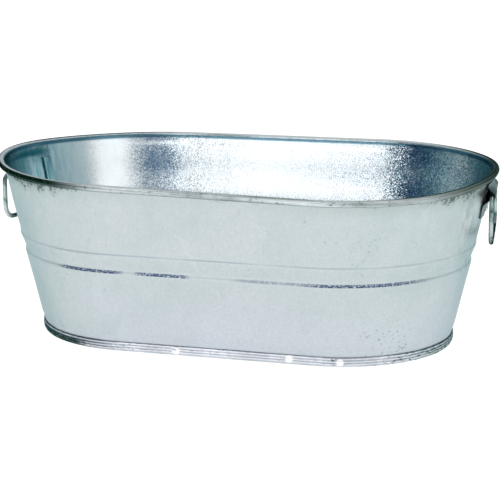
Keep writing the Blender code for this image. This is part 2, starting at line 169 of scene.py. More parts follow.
class Zinc:
    """One Principled material and the node tree that feeds it."""

    def __init__(self, name, edge=EDGE_TINT):
        self.mat = bpy.data.materials.new(name)
        self.mat.use_nodes = True
        self.tree = self.mat.node_tree
        self.shader = self.tree.nodes["Principled BSDF"]
        self.shader.inputs["Metallic"].default_value = 1.0
        self.shader.inputs["Specular Tint"].default_value = (*edge, 1.0)
        self.place = self.add("ShaderNodeTexCoord").outputs["Object"]

    def add(self, kind, **settings):
        node = self.tree.nodes.new(kind)
        for key, value in settings.items():
            setattr(node, key, value)
        return node

    def feed(self, socket, value):
        if isinstance(value, bpy.types.NodeSocket):
            self.tree.links.new(value, socket)
        else:
            socket.default_value = value

    def math(self, operation, a, b=0.0, c=0.0):
        node = self.add("ShaderNodeMath", operation=operation)
        for socket, value in zip(node.inputs, (a, b, c)):
            self.feed(socket, value)
        return node.outputs[0]

    def vector(self, operation, a, b=(0.0, 0.0, 0.0), scale=1.0):
        node = self.add("ShaderNodeVectorMath", operation=operation)
        self.feed(node.inputs[0], a)
        self.feed(node.inputs[1], b)
        if operation == "SCALE":
            self.feed(node.inputs[3], scale)
        return node.outputs["Value" if operation in ("LENGTH", "DISTANCE") else "Vector"]

    def stretched(self, scale):
        return self.vector("MULTIPLY", self.place, scale)

    def noise(self, scale, detail=2.0, rough=0.5, where=None, distortion=0.0):
        node = self.add("ShaderNodeTexNoise")
        self.feed(node.inputs["Vector"], where or self.place)
        for key, value in (("Scale", scale), ("Detail", detail), ("Roughness", rough),
                           ("Distortion", distortion)):
            node.inputs[key].default_value = value
        return node.outputs["Fac"]

    def cells(self, scale, output="Color"):
        node = self.add("ShaderNodeTexVoronoi")
        self.feed(node.inputs["Vector"], self.place)
        node.inputs["Scale"].default_value = scale
        return node.outputs[output]

    def span(self, value, low, high, to_low=0.0, to_high=1.0):
        node = self.add("ShaderNodeMapRange", interpolation_type='SMOOTHSTEP')
        for key, number in (("Value", value), ("From Min", low), ("From Max", high),
                            ("To Min", to_low), ("To Max", to_high)):
            self.feed(node.inputs[key], number)
        return node.outputs["Result"]

    def band(self, value, middle, half, soft):
        """1 within half of the middle, fading to 0 over soft."""
        away = self.math("ABSOLUTE", self.math("SUBTRACT", value, middle))
        return self.span(away, half, half + soft, 1.0, 0.0)

    def mix(self, share, a, b):
        node = self.add("ShaderNodeMix", data_type='RGBA')
        self.feed(node.inputs[0], share)
        for socket, value in ((node.inputs[6], a), (node.inputs[7], b)):
            self.feed(socket, value if isinstance(value, bpy.types.NodeSocket) else (*value, 1.0))
        return node.outputs[2]

    def ramp(self, share, stops):
        node = self.add("ShaderNodeValToRGB")
        self.feed(node.inputs[0], share)
        points = node.color_ramp.elements
        while len(points) < len(stops):
            points.new(0.5)
        for point, (position, color) in zip(points, stops):
            point.position = position
            point.color = (*color, 1.0)
        return node.outputs[0]

    def split(self, vector=None):
        node = self.add("ShaderNodeSeparateXYZ")
        self.feed(node.inputs[0], vector or self.place)
        return node.outputs[0], node.outputs[1], node.outputs[2]

    def attribute(self, name):
        return self.add("ShaderNodeAttribute", attribute_name=name).outputs["Fac"]

    def near(self, centre, radius, soft):
        """1 round a place on the object, fading to 0."""
        away = self.vector("DISTANCE", self.place, centre)
        return self.span(away, radius, radius + soft, 1.0, 0.0)

    def either(self, first, *others):
        for other in others:
            first = self.math("MAXIMUM", first, other)
        return first

    def along(self, plan, rise):
        """Coordinates that run round the tub, level with its rim."""
        node = self.add("ShaderNodeCombineXYZ")
        x, y, _ = self.split()
        self.feed(node.inputs[0], self.math("MULTIPLY", x, plan))
        self.feed(node.inputs[1], self.math("MULTIPLY", y, plan))
        self.feed(node.inputs[2], self.math("MULTIPLY", self.attribute("level"), rise))
        return node.outputs[0]

    def facets(self, scale, tilt):
        """Surface normal turned a little at random in each spangle."""
        wobble = self.vector("SUBTRACT", self.cells(scale), (0.5, 0.5, 0.5))
        wobble = self.vector("MULTIPLY", wobble, (1.0, 1.0, 0.45))
        wobble = self.vector("SCALE", wobble, scale=tilt)
        return self.vector("NORMALIZE", self.vector("ADD", self.facing(), wobble))

    def facing(self):
        """The mesh's own surface normal."""
        return self.add("ShaderNodeNewGeometry").outputs["Normal"]

    def finish(self, color, roughness, height=None, depth=0.0002, strength=0.3, normal=None):
        self.feed(self.shader.inputs["Base Color"], color)
        self.feed(self.shader.inputs["Roughness"], roughness)
        if height is not None:
            bump = self.add("ShaderNodeBump")
            bump.inputs["Strength"].default_value = strength
            bump.inputs["Distance"].default_value = depth
            self.feed(bump.inputs["Height"], height)
            if normal is not None:
                self.feed(bump.inputs["Normal"], normal)
            normal = bump.outputs["Normal"]
        if normal is not None:
            self.feed(self.shader.inputs["Normal"], normal)
        return self.mat


def outside_zinc():
    """Dull outside: cloudy, streaked down the wall, stained and painted with shade below the rim, with
    painted dark reflections along the beads.
    """
    z = Zinc("zinc_outside")
    x, y, up = z.split()
    cloud = z.noise(11.0, 5.0, 0.65, distortion=0.8)
    color = z.ramp(cloud, [(0.30, (0.455, 0.535, 0.545)), (0.50, (0.530, 0.600, 0.612)),
                           (0.70, (0.580, 0.640, 0.655))])
    blue = z.math("MULTIPLY", z.span(up, 0.100, 0.020), z.span(z.noise(5.0, 2.0), 0.38, 0.60))
    blue = z.math("MULTIPLY", blue, z.span(x, 0.22, -0.10, 0.35, 0.80))
    color = z.mix(blue, color, (0.625, 0.655, 0.740))
    ends = z.math("ABSOLUTE", x)
    # paler in the middle and darker towards both ends: painted shade
    color = z.mix(z.span(ends, 0.25, 0.05, 0.0, 0.28), color, (0.630, 0.655, 0.695))
    patch = z.noise(26.0, 3.0, 0.6, distortion=1.0)
    color = z.mix(z.span(patch, 0.56, 0.74, 0.0, 0.25), color, (0.66, 0.71, 0.72))
    color = z.mix(z.span(patch, 0.42, 0.26, 0.0, 0.22), color, (0.40, 0.48, 0.49))
    streak = z.noise(1.0, 4.0, 0.65, z.stretched((130.0, 130.0, 8.0)))
    color = z.mix(z.span(streak, 0.56, 0.80, 0.0, 0.16), color, (0.70, 0.74, 0.75))
    color = z.mix(z.span(streak, 0.44, 0.22, 0.0, 0.18), color, (0.38, 0.46, 0.47))
    color = z.mix(z.span(z.noise(330.0, 3.0, 0.6), 0.34, 0.70, 0.24, 0.0), color, (0.36, 0.43, 0.44))

    # painted shade under the rim, and dirt specks and stains that hang there, densest at the two ends
    level = z.attribute("level")
    shade = z.math("MULTIPLY", z.span(level, 0.178, 0.201), z.span(ends, 0.06, 0.20, 0.10, 0.45))
    color = z.mix(shade, color, (0.36, 0.43, 0.42))
    dirty = z.either(z.near((-0.235, -0.125, 0.196), 0.050, 0.080),
                     z.near((0.265, -0.070, 0.196), 0.020, 0.080),
                     z.span(z.noise(14.0, 3.0), 0.50, 0.64, 0.0, 0.5))
    drip = z.noise(1.0, 3.0, 0.6, z.stretched((80.0, 80.0, 22.0)))
    reach = z.math("MULTIPLY", z.math("MULTIPLY_ADD", drip, 0.050, -0.008), dirty)
    depth = z.math("SUBTRACT", 0.2010, level)
    stain = z.math("SUBTRACT", 1.0, z.math("DIVIDE", depth, z.math("MAXIMUM", reach, 0.0004)))
    stain = z.math("MULTIPLY", z.span(stain, 0.0, 1.0), dirty)
    grit = z.noise(260.0, 4.0, 0.75)
    speck = z.span(z.math("MULTIPLY_ADD", stain, 0.22, grit), 0.62, 0.70)
    color = z.mix(z.math("MULTIPLY", stain, 0.25), color, (0.24, 0.30, 0.26))
    color = z.mix(z.math("MULTIPLY", speck, z.span(stain, 0.0, 0.12, 0.0, 0.8)), color,
                  (0.060, 0.105, 0.085))

    # painted dark reflection on the shoulders of the two beads, broken into dashes, with painted shade
    # lines along them
    broken = z.span(z.noise(1.0, 3.0, 0.75, z.stretched((430.0, 430.0, 520.0))), 0.39, 0.50)
    runs = z.either(z.near((-0.145, -0.152, 0.101), 0.030, 0.020),
                    z.near((-0.056, -0.155, 0.101), 0.024, 0.014),
                    z.near((0.180, -0.143, 0.101), 0.040, 0.060),
                    z.math("MULTIPLY", z.near((0.080, -0.155, 0.101), 0.030, 0.030), 0.45),
                    z.math("MULTIPLY", z.span(z.noise(9.0, 1.0), 0.54, 0.64, 0.0, 0.8),
                           z.span(y, -0.135, -0.100)))
    crease = z.band(up, LOWER_BEAD, 0.0012, 0.0012)
    painted_bead_reflection = z.math("MULTIPLY", z.math("MULTIPLY", crease, broken), runs)
    color = z.mix(z.math("MULTIPLY", painted_bead_reflection, 0.97), color, (0.0, 0.026, 0.115))
    # thin grey painted shade line in the lower crease
    color = z.mix(z.math("MULTIPLY", z.band(up, 0.1010, 0.0004, 0.0008), 0.35), color,
                  (0.26, 0.33, 0.40))
    # painted shade line along the upper bead
    upper = z.math("MULTIPLY", z.band(up, UPPER_BEAD, 0.0004, 0.0010),
                   z.span(z.noise(12.0, 3.0), 0.30, 0.65, 0.15, 0.60))
    color = z.mix(upper, color, (0.27, 0.34, 0.40))

    # scattered dark specks, and a few scuffs
    places = z.either(z.span(z.noise(16.0, 2.0), 0.60, 0.70, 0.0, 0.6),
                      z.near((0.200, -0.110, 0.024), 0.018, 0.030),
                      z.near((-0.199, -0.110, 0.021), 0.004, 0.008))
    dots = z.math("MULTIPLY", z.span(z.noise(250.0, 2.0, 0.6), 0.62, 0.67), places)
    color = z.mix(z.math("MULTIPLY", dots, 0.6), color, (0.12, 0.17, 0.17))
    scuff = z.span(z.noise(1.0, 3.0, 0.7, z.stretched((210.0, 210.0, 34.0))), 0.62, 0.70)
    scuff = z.math("MULTIPLY", scuff, z.span(z.noise(19.0, 2.0), 0.50, 0.62))
    color = z.mix(z.math("MULTIPLY", scuff, 0.40), color, (0.33, 0.39, 0.42))

    # the lock seam on the right has a painted pale highlight streak and a darker blue-green patch round
    # it
    seam_patch = z.near((0.281, -0.012, 0.130), 0.020, 0.035)
    worn = z.span(z.noise(1.0, 4.0, 0.7, z.stretched((160.0, 160.0, 70.0))), 0.50, 0.64)
    color = z.mix(z.math("MULTIPLY", z.math("MULTIPLY", seam_patch, worn), 0.5), color,
                  (0.13, 0.24, 0.26))
    painted_seam_highlight = z.math("MULTIPLY", z.near((0.283, -0.048, 0.165), 0.010, 0.022),
                     z.span(z.noise(1.0, 3.0, 0.6, z.stretched((150.0, 150.0, 30.0))), 0.40, 0.60))
    color = z.mix(z.math("MULTIPLY", painted_seam_highlight, 0.6), color, (0.78, 0.80, 0.79))
    fine = z.noise(420.0, 2.0)
    roughness = z.math("ADD", z.span(cloud, 0.3, 0.7, 0.38, 0.48), z.math("MULTIPLY", stain, 0.2))
    height = z.math("ADD", z.math("MULTIPLY", fine, 0.4), z.math("MULTIPLY", streak, 0.6))
    return z.finish(color, roughness, height, 0.00025, 0.35, z.facets(300.0, 0.05))


def inside_zinc():
    """Bright inside, whose fine spangle breaks up what it mirrors."""
    z = Zinc("zinc_inside")
    x = z.split()[0]
    cloud = z.noise(9.0, 4.0, 0.6)
    color = z.ramp(cloud, [(0.3, (0.62, 0.70, 0.73)), (0.7, (0.72, 0.78, 0.80))])
    spangle = z.cells(900.0, "Distance")
    color = z.mix(z.span(spangle, 0.3, 0.8, 0.0, 0.14), color, (0.42, 0.51, 0.60))
    rubbed = z.noise(1.0, 3.0, 0.6, z.stretched((70.0, 70.0, 9.0)))
    color = z.mix(z.span(rubbed, 0.50, 0.28, 0.0, 0.30), color, (0.38, 0.50, 0.56))

    # painted dark teal reflection at both ends, streaked down the sheet
    painted_end_reflection = z.either(z.near((-0.300, 0.020, 0.180), 0.035, 0.070),
                    z.near((0.295, 0.030, 0.180), 0.035, 0.065))
    run = z.noise(1.0, 3.0, 0.65, z.stretched((110.0, 110.0, 12.0)))
    color = z.mix(z.math("MULTIPLY", painted_end_reflection, z.span(run, 0.34, 0.62, 0.20, 0.85)), color,
                  (0.12, 0.41, 0.47))

    # painted dark reflection in two broad patches of the back wall, broken up by the spangle crystals
    left, right = DARK_REFLECTION_PATCHES
    dark = z.either(z.math("MULTIPLY", z.near(left, 0.012, 0.034), 0.6),
                    z.near(right, 0.020, 0.050))
    crystal = z.span(z.cells(520.0), 0.44, 0.56, 0.0, 0.62)
    color = z.mix(z.math("MULTIPLY", dark, crystal), color, (0.08, 0.29, 0.41))

    # painted shade in the crease under the roll, dark blue
    level = z.attribute("level")
    color = z.mix(z.span(level, 0.1995, 0.2020, 0.0, 0.90), color, ROLL_CREASE_SHADE)
    # the spangle stands out most towards the right end
    tilt = z.math("ADD", z.span(x, -0.215, -0.175, 0.05, 0.20), z.span(x, -0.135, -0.10, 0.0, -0.11))
    tilt = z.math("ADD", tilt, z.span(x, 0.10, 0.15, 0.0, 0.19))
    roughness = z.span(rubbed, 0.3, 0.7, 0.18, 0.23)
    return z.finish(color, roughness, z.noise(900.0, 2.0), 0.0002, 0.12, z.facets(1000.0, tilt))


def rim_zinc():
    """Rolled edge: painted highlight on top, patchy painted shade below, dirty in places."""
    z = Zinc("zinc_rim", (0.20, 0.30, 0.30))
    turn = z.attribute("turn")
    x, y, _ = z.split()
    grime = z.noise(1.0, 4.0, 0.7, z.stretched((160.0, 160.0, 160.0)))
    color = z.ramp(z.noise(30.0, 3.0), [(0.3, (0.44, 0.51, 0.52)), (0.7, (0.60, 0.66, 0.68))])
    # painted highlight along the top of the roll
    color = z.mix(z.span(turn, 0.40, 0.26, 0.0, 0.65), color, (0.80, 0.87, 0.90))
    # patchy painted shade on the underside of the roll
    low = z.math("MULTIPLY", z.span(turn, 0.40, 0.50), z.span(z.noise(9.0, 2.0), 0.50, 0.66, 0.0, 0.4))
    color = z.mix(low, color, (0.030, 0.060, 0.052))

    # bands that run round the roll: painted highlight lines here, painted dark lines further on
    line = z.noise(1.0, 2.0, 0.5, z.along(9.0, 620.0))
    color = z.mix(z.span(line, 0.46, 0.32, 0.0, 0.75), color, (0.84, 0.88, 0.90))

    # the left end is caked black-green, the right end has a dark top line
    left = z.span(x, -0.130, -0.190)
    right = z.span(x, 0.170, 0.250)
    ends = z.either(left, right)
    edge = z.span(y, -0.100, 0.080, 0.37, 0.17)
    caked = z.span(turn, edge, z.math("ADD", edge, 0.05))
    caked = z.math("MULTIPLY", caked, z.span(grime, 0.20, 0.40, 0.80, 1.0))
    cleaner = z.math("MULTIPLY", z.span(y, 0.0, 0.09), z.span(turn, 0.38, 0.50, 0.0, 0.85))
    patchy = z.math("MULTIPLY", cleaner, z.span(grime, 0.62, 0.46))
    caked = z.math("MULTIPLY", caked, z.math("SUBTRACT", 1.0, patchy))
    color = z.mix(z.math("MULTIPLY", caked, left), color, (0.008, 0.030, 0.020))
    top = z.span(y, 0.0, 0.08, 0.32, 0.26)
    top_line = z.either(z.band(turn, top, 0.045, 0.045), z.span(x, 0.245, 0.290, 0.25, 0.75))
    color = z.mix(z.math("MULTIPLY", top_line, right), color, (0.055, 0.078, 0.048))
    # painted dark blue reflection on the inner side of the roll at both ends
    blue = z.math("MULTIPLY", z.span(turn, 0.14, 0.08, 0.0, 0.9), ends)
    color = z.mix(blue, color, (0.060, 0.215, 0.300))
    # thin painted shade line along the back of the roll
    far_line = z.math("MULTIPLY", z.band(turn, 0.165, 0.010, 0.015), z.span(y, 0.0, 0.08, 0.0, 0.6))
    color = z.mix(far_line, color, (0.14, 0.28, 0.34))
    # painted dark lines in the same bands round the roll
    color = z.mix(z.span(line, 0.56, 0.68, 0.0, 0.60), color, (0.14, 0.19, 0.18))
    fleck = z.math("MULTIPLY", z.span(grime, 0.56, 0.70), z.span(turn, 0.20, 0.45, 0.25, 0.8))
    color = z.mix(fleck, color, (0.10, 0.15, 0.13))
    # painted shade in the crease where the roll leaves the wall
    color = z.mix(z.span(turn, 0.06, 0.02, 0.0, 0.92), color, ROLL_CREASE_SHADE)
    roughness = z.math("ADD", z.span(grime, 0.3, 0.7, 0.30, 0.45), z.math("MULTIPLY", left, 0.22))
    return z.finish(color, roughness, z.noise(240.0, 3.0), 0.0003, 0.4, z.facets(330.0, 0.10))


def pan_zinc():
    """Foot ring and pan: painted highlights on the ridges, painted shade between them, and dirt."""
    z = Zinc("zinc_pan", (0.28, 0.37, 0.37))
    up = z.split()[2]
    blotch = z.noise(26.0, 4.0, 0.6)
    color = z.ramp(blotch, [(0.32, (0.42, 0.47, 0.50)), (0.6, (0.58, 0.62, 0.67))])
    left = z.math("MULTIPLY", z.near((-0.215, -0.105, 0.004), 0.040, 0.045),
                  z.span(up, 0.0105, 0.0050, 0.30, 1.0))
    right = z.near((0.235, -0.080, 0.004), 0.020, 0.060)
    fine = z.noise(1.0, 3.0, 0.7, z.stretched((150.0, 150.0, 420.0)))
    dirt = z.either(z.math("MULTIPLY", z.span(fine, 0.55, 0.68), z.span(z.noise(11.0, 2.0), 0.45, 0.6)),
                    z.math("MULTIPLY", z.span(fine, 0.34, 0.52), left),
                    z.math("MULTIPLY", z.span(fine, 0.54, 0.64), right))
    caked = z.math("MULTIPLY", z.near((-0.222, -0.096, 0.003), 0.052, 0.020), z.span(up, 0.0096, 0.0066))
    dirt = z.either(dirt, z.math("MULTIPLY", caked, z.span(fine, 0.34, 0.46, 0.60, 1.0)))
    level_share = z.math("ABSOLUTE", z.split(z.facing())[2])
    dirt = z.math("MULTIPLY", dirt, z.span(level_share, 0.80, 0.97, 1.0, 0.30))

    # shade in the valleys of the curl, and light on its crests
    valleys = z.either(*(z.band(up, height, 0.0002, 0.0006) for out, height in RIDGES if out < -0.0005))
    crests = z.either(*(z.band(up, height, 0.0003, 0.0005) for out, height in RIDGES if out > -0.0005))
    color = z.mix(z.math("MULTIPLY", crests, 0.55), color, (0.86, 0.87, 0.90))
    color = z.mix(z.math("MULTIPLY", valleys, 0.60), color, (0.25, 0.28, 0.36))
    color = z.mix(z.math("MULTIPLY", dirt, 0.92), color, BLACK_GREEN)
    green = z.math("MULTIPLY", z.near((0.253, -0.030, 0.006), 0.030, 0.040), z.span(fine, 0.40, 0.60))
    color = z.mix(z.math("MULTIPLY", green, 0.7), color, (0.09, 0.20, 0.15))
    # painted glint on the solder beads, near white
    solder = z.either(*(z.near(bead, 0.0030, 0.0030) for bead in SOLDER_BEADS))
    color = z.mix(solder, color, (0.97, 0.97, 0.97))
    return z.finish(color, z.span(blotch, 0.3, 0.7, 0.36, 0.24), z.noise(300.0, 3.0), 0.0004, 0.4,
                    z.facets(260.0, 0.14))


def wire_zinc():
    """Drawn wire with a rubbed coat and dark scale left in places."""
    z = Zinc("zinc_wire", (0.0, 0.035, 0.035))
    patch = z.noise(55.0, 4.0, 0.65)
    color = z.ramp(patch, [(0.36, (0.05, 0.11, 0.10)), (0.50, (0.34, 0.43, 0.43)),
                           (0.7, (0.62, 0.67, 0.68))])
    return z.finish(color, z.span(patch, 0.3, 0.7, 0.32, 0.18), z.noise(500.0, 3.0), 0.0003, 0.35)


def ear_zinc():
    z = Zinc("zinc_ear", (0.20, 0.28, 0.28))
    patch = z.noise(60.0, 4.0, 0.65)
    color = z.ramp(patch, [(0.34, (0.26, 0.33, 0.32)), (0.62, (0.56, 0.62, 0.63))])
    return z.finish(color, z.span(patch, 0.3, 0.7, 0.44, 0.28), z.noise(420.0, 3.0), 0.0003, 0.4,
                    z.facets(280.0, 0.12))


def hidden_shade_zinc():
    """Painted shade on the hidden faces: near black, patchy."""
    z = Zinc("zinc_hidden_shade", (0.05, 0.07, 0.07))
    patch = z.noise(90.0, 4.0, 0.7)
    color = z.ramp(patch, [(0.35, (0.012, 0.018, 0.018)), (0.7, (0.07, 0.10, 0.10))])
    return z.finish(color, z.span(patch, 0.3, 0.7, 0.6, 0.45), z.noise(400.0, 3.0), 0.0003, 0.4)


def rivet_zinc():
    z = Zinc("zinc_rivet")
    patch = z.noise(150.0, 4.0, 0.6)
    color = z.ramp(patch, [(0.36, (0.30, 0.35, 0.35)), (0.6, (0.66, 0.71, 0.72))])
    return z.finish(color, z.span(patch, 0.3, 0.7, 0.40, 0.26), z.noise(600.0, 3.0), 0.0002, 0.4)


# ------------------------------------------------------------------- mesh tools

def mesh_piece(name, verts, faces, slots, materials, body, nodes, attributes=None,
               sharp=50):
    """Make a smooth-shaded piece that rides on a body in place of CAD nodes."""
    mesh = bpy.data.meshes.new(name)
    mesh.from_pydata(verts, [], faces)
    mesh.polygons.foreach_set("material_index", slots)
    for key, values in (attributes or {}).items():
        mesh.attributes.new(key, 'FLOAT', 'POINT').data.foreach_set("value", values)
    for mat in materials:
        mesh.materials.append(mat)
    mesh.validate()
    mesh.shade_smooth()
    mesh.set_sharp_from_angle(angle=math.radians(sharp))
    item = bpy.data.objects.new(name, mesh)
    bpy.context.scene.collection.objects.link(item)
    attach(item, body)
    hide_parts(*nodes)


def hermite(points, at):
    """Smooth value at a place along (place, value) points."""
    i = 0
    while i < len(points) - 2 and at > points[i + 1][0]:
        i += 1
    before, start = points[max(i - 1, 0)], points[i]
    end, after = points[i + 1], points[min(i + 2, len(points) - 1)]
    width = end[0] - start[0]
    t = (at - start[0]) / width
    slope_a = (end[1] - before[1]) / (end[0] - before[0]) * width
    slope_b = (after[1] - start[1]) / (after[0] - start[0]) * width
    return ((2 * t ** 3 - 3 * t ** 2 + 1) * start[1] + (t ** 3 - 2 * t ** 2 + t) * slope_a
            + (3 * t ** 2 - 2 * t ** 3) * end[1] + (t ** 3 - t ** 2) * slope_b)


def normal_angles(path):
    """Direction of the right-hand side of a path of (a, b) points, at each."""
    angles = []
    for i in range(len(path)):
        before = path[max(i - 1, 0)]
        after = path[min(i + 1, len(path) - 1)]
        angles.append(math.atan2(after[1] - before[1], after[0] - before[0]) - math.pi / 2)
    return angles


def grid_sheet(rows, columns, point, keep, slot_of):
    """Closed sheet over grid cells: vertices, faces, and a slot for each face."""
    verts, faces, slots, where = [], [], [], {}

    def vert(i, j, face):
        key = (i, j, face)
        if key not in where:
            where[key] = len(verts)
            verts.append(point(i, j, face))
        return where[key]

    kept = {(i, j) for i in range(rows - 1) for j in range(columns - 1) if keep(i, j)}
    for i, j in sorted(kept):
        corners = [(i, j), (i, j + 1), (i + 1, j + 1), (i + 1, j)]
        faces.append([vert(a, b, 1) for a, b in corners])
        slots.append(slot_of(i, 1))
        faces.append([vert(a, b, -1) for a, b in reversed(corners)])
        slots.append(slot_of(i, -1))
        beside = [(i - 1, j), (i, j + 1), (i + 1, j), (i, j - 1)]
        for k in range(4):
            if beside[k] not in kept:
                a, b = corners[k], corners[(k + 1) % 4]
                faces.append([vert(*a, -1), vert(*b, -1), vert(*b, 1), vert(*a, 1)])
                slots.append(slot_of(i, 1))
    return verts, faces, slots, where


def rings_to_faces(rings, closed_path, closed_ring):
    """Quads between successive rings of vertex numbers."""
    faces = []
    for i in range(0 if closed_path else 1, len(rings)):
        here, there = rings[i - 1], rings[i]
        for k in range(len(here) if closed_ring else len(here) - 1):
            m = (k + 1) % len(here)
            faces.append([here[k], there[k], there[m], here[m]])
    return faces


# --------------------------------------------------------------------- the plan

def rim_rise(x, y, z):
    along = x / (LENGTH / 2)
    rise = END_RISE * abs(along) ** 8 + TWIST_RISE * along * y / END_RADIUS
    k = min(max((z - RISE_FROM) / (RISE_FULL - RISE_FROM), 0.0), 1.0)
    return rise * k * k * (3 - 2 * k)


def ripple(x, y, z):
    """Slight unevenness of the pressed sheet, in metres along the radius."""
    inside = (min(max((z - RIPPLE_FROM) / RIPPLE_FADE, 0.0), 1.0)
              * min(max((RIPPLE_TO - z) / RIPPLE_FADE, 0.0), 1.0))
    broad = noise.noise(Vector((x * 8.0, y * 8.0, z * 6.0)))
    small = noise.noise(Vector((x * 34.0, y * 34.0, z * 20.0)))
    out = inside * (RIPPLE_BROAD * broad + RIPPLE_SMALL * small)
    if y > BOW_FROM and BEAD_TOP < z < SEAM_TO:
        share = min((y - BOW_FROM) / BOW_FADE, 1.0)
        out += BOW * share * math.sin(math.pi * (z - BEAD_TOP) / (SEAM_TO - BEAD_TOP)) ** 2
    return out


def plan_point(station, radius, z, shift=0.0):
    centre_x, angle = station
    x = centre_x + radius * math.cos(angle) - shift * math.sin(angle)
    y = radius * math.sin(angle) + shift * math.cos(angle)
    out = ripple(x, y, z)
    return (x + out * math.cos(angle), y + out * math.sin(angle), z + rim_rise(x, y, z))


def end_station(degrees):
    angle = math.radians(degrees)
    return (math.copysign(STRAIGHT, math.cos(angle)), angle)


def arc_stations(start, stop, fineness):
    """Stations round one end, from start to stop in degrees, ends left out."""
    centre_x = math.copysign(STRAIGHT, math.cos(math.radians((start + stop) / 2)))
    steps = round(abs(stop - start) / ARC_STEP * fineness)
    degrees = [start + (stop - start) * i / steps for i in range(1, steps)]
    return [(centre_x, math.radians(d)) for d in degrees]


def half_stations(side, fineness=1):
    left_seam = LEFT_SEAM_DEG if side > 0 else LEFT_SEAM_DEG - 360.0
    quarter = 90.0 * side
    corner = math.radians(quarter)
    count = round(2 * STRAIGHT / STRAIGHT_STEP * fineness)
    middle = [(STRAIGHT - 2 * STRAIGHT * i / count, corner) for i in range(count + 1)]
    right = arc_stations(RIGHT_SEAM_DEG, quarter, fineness)
    return right + middle + arc_stations(quarter, left_seam, fineness)


RIGHT_SEAM = end_station(RIGHT_SEAM_DEG)
LEFT_SEAM = end_station(LEFT_SEAM_DEG)


def away_from_seams(stations):
    """Leave out stations that a seam's own columns cover."""
    clear = math.degrees(SEAM_REACH / FOOT_LINE_RADIUS) * 0.75
    kept = []
    for centre_x, angle in stations:
        turns = [abs((math.degrees(angle) - seam + 180) % 360 - 180)
                 for seam in (RIGHT_SEAM_DEG, LEFT_SEAM_DEG)]
        if min(turns) > clear:
            kept.append((centre_x, angle))
    return kept


def ring_stations(fineness):
    """(station, shift) all the way round."""
    back = away_from_seams(half_stations(1, fineness))
    front = away_from_seams(half_stations(-1, fineness))
    shifts = (-SEAM_REACH / 2, 0.0, SEAM_REACH / 2)
    ring = [(RIGHT_SEAM, shift) for shift in shifts]
    ring += [(station, 0.0) for station in back]
    ring += [(LEFT_SEAM, shift) for shift in shifts]
    ring += [(station, 0.0) for station in reversed(front)]
    return ring


# -------------------------------------------------------------------- the walls

def taper_radius(z):
    return FOOT_LINE_RADIUS + WALL_SLOPE * z


def wall_rows():
    """Mid-sheet (radius, z) rows and how far each has turned round the roll."""
    foot = WALL_FOOT[:2]
    bend = [(z, r - taper_radius(z)) for r, z in WALL_FOOT[1:]] + SWAGES
    rows = [foot[0]]
    count = round((SWAGES[-1][0] - foot[1][1]) / ROW_STEP)
    heights = [foot[1][1] + (SWAGES[-1][0] - foot[1][1]) * i / count for i in range(count + 1)]
    heights = sorted(set(heights) | {SEAM_FROM, SEAM_TO})
    rows += [(taper_radius(z) + hermite(bend, z), z) for z in heights]
    turns = [0.0] * len(rows)
    steps = round((ROLL_FROM - ROLL_TO) / ROLL_STEP)
    for i in range(steps + 1):
        turn = math.radians(ROLL_FROM + (ROLL_TO - ROLL_FROM) * i / steps)
        rows.append((ROLL_CENTRE[0] + ROLL_RADIUS * math.cos(turn),
                     ROLL_CENTRE[1] + ROLL_RADIUS * math.sin(turn)))
        turns.append(i / steps)
    return rows, turns


def fold(centre, start, stop):
    turns = [math.radians(start + (stop - start) * i / 8) for i in range(9)]
    return [(centre[0] + PITCH * math.cos(t), centre[1] + PITCH * math.sin(t)) for t in turns]


def outer_hook():
    bend = fold((SEAM_HALF_LAP, -PITCH), 90, -90)
    return [(-SEAM_REACH, 0.0), (-GAP / 2, 0.0)] + bend + [(-SEAM_TIP, -2 * PITCH)]


def inner_hook():
    step = [(SEAM_REACH + SEAM_LEVEL, 0.0), (SEAM_REACH, 0.0),
            (SEAM_STEP, -3 * PITCH), (GAP / 2, -3 * PITCH)]
    bend = fold((-SEAM_HALF_LAP, -2 * PITCH), 270, 90)
    return step + bend + [(SEAM_TIP, -PITCH)]


def mirrored(hook):
    return [(-u, n) for u, n in hook]


def butt_index(hook):
    return next(i for i, (u, n) in enumerate(hook) if abs(u) < GAP)


def seam_columns(seam, hook):
    turn = math.pi if hook[1][0] > hook[0][0] else 0.0
    return [(seam, u, n, a + turn) for (u, n), a in zip(hook, normal_angles(hook))]


OUTSIDE, INSIDE, RIM = 0, 1, 2      # material slots of a wall
SHOWN, HIDDEN = 0, 1                # and of a strap


def wall(name, side, right_hook, left_hook, node, materials):
    rows, turns = wall_rows()
    tilts = normal_angles(rows)
    right = seam_columns(RIGHT_SEAM, right_hook)
    left = seam_columns(LEFT_SEAM, left_hook)
    columns = list(reversed(right))
    columns += [(s, 0.0, 0.0, math.pi / 2) for s in away_from_seams(half_stations(side))]
    columns += left
    first_butt = len(right) - 1 - butt_index(right_hook)
    last_butt = len(columns) - len(left) + butt_index(left_hook)

    def seamed(i):
        return SEAM_FROM <= rows[i][1] <= SEAM_TO

    def point(i, j, face):
        station, shift, out, direction = columns[j]
        if not seamed(i):
            out = 0.0
            direction = math.pi / 2
        half = face * SHEET / 2
        out += half * math.sin(direction)
        shift += half * math.cos(direction)
        radius = rows[i][0] + out * math.cos(tilts[i])
        return plan_point(station, radius, rows[i][1] + out * math.sin(tilts[i]), shift)

    def keep(i, j):
        return first_butt <= j < last_butt or (seamed(i) and seamed(i + 1))

    def slot_of(i, face):
        if turns[i] > 0.0:
            return RIM
        return OUTSIDE if face > 0 else INSIDE

    verts, faces, slots, where = grid_sheet(len(rows), len(columns), point, keep, slot_of)
    turn_of, level_of = [0.0] * len(verts), [0.0] * len(verts)
    for (i, j, face), number in where.items():
        turn_of[number] = turns[i]
        level_of[number] = rows[i][1]
    mesh_piece(name, verts, faces, slots, materials, "tub", [node],
               {"turn": turn_of, "level": level_of})


# ------------------------------------------------------- rim wire and bottom pan

